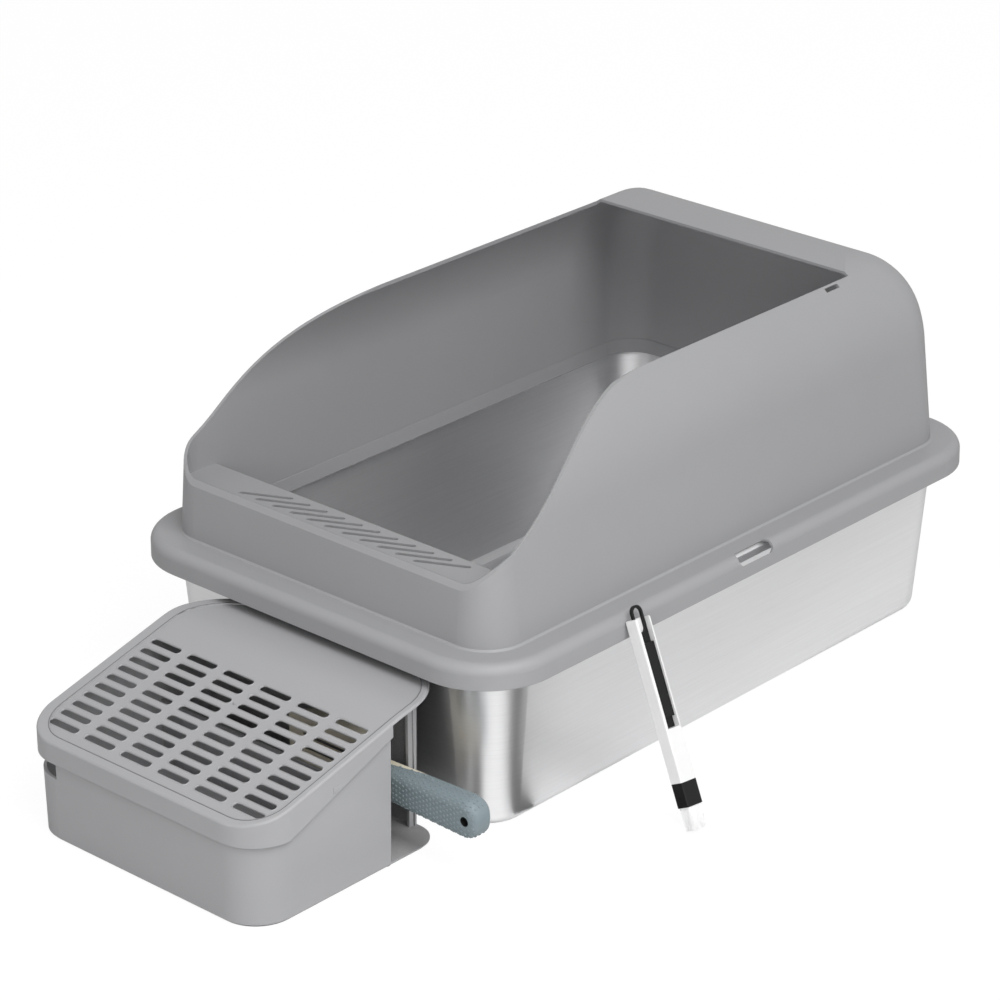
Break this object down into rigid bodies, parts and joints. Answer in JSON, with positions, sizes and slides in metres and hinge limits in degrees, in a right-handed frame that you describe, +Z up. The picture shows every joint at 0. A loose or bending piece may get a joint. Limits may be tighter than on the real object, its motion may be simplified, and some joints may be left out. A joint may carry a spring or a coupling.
{
  "type": "stainless steel litter box",
  "caption": "Steel cat litter pan with a lift-off high-sided enclosure, a slotted litter-catching step with a pocket for the scoop, and a cleaning brush.",
  "frame": {"origin": "centre of the pan's underside, on the floor", "axes": "+X to the right (scoop handle and brush side), +Y from the entry to the back, +Z up"},
  "size_m": [0.473, 0.7872, 0.3094],
  "materials": {
    "steel": "brushed",
    "grey_plastic": "fine matt",
    "cream_plastic": "satin",
    "soft_grip": "dimpled matt",
    "white_plastic": "satin",
    "black_plastic": "satin",
    "nylon": "bristle"
  },
  "bodies": {
    "pan": {"pan": "steel"},
    "enclosure": {"enclosure": "grey_plastic"},
    "step_base": {"step_base": "grey_plastic"},
    "step_cover": {"step_cover": "grey_plastic"},
    "scoop": {"scoop_blade": "cream_plastic", "scoop_grip": "soft_grip"},
    "brush": {"brush_body": "white_plastic", "brush_ferrule": "black_plastic", "brush_bristles": "nylon"},
    "brush_insert": {"brush_insert": "black_plastic"}
  },
  "joints": [
    {"name": "enclosure_lift", "type": "slide", "parent": "pan", "child": "enclosure", "axis": [0, 0, 1], "range_m": [0, 0.15]},
    {"name": "step_pull", "type": "slide", "parent": "pan", "child": "step_base", "axis": [0, -1, 0], "range_m": [0, 0.2]},
    {"name": "cover_lift", "type": "slide", "parent": "step_base", "child": "step_cover", "axis": [0, -0.94, 0.3412], "range_m": [0, 0.16]},
    {"name": "scoop_pull", "type": "slide", "parent": "step_base", "child": "scoop", "axis": [1, 0, 0], "range_m": [0, 0.16]},
    {"name": "brush_away", "type": "slide", "parent": "pan", "child": "brush", "axis": [1, 0, 0], "range_m": [0, 0.12]},
    {"name": "insert_out", "type": "slide", "parent": "brush", "child": "brush_insert", "axis": [0.893, 0, 0.45], "range_m": [0, 0.03]}
  ]
}
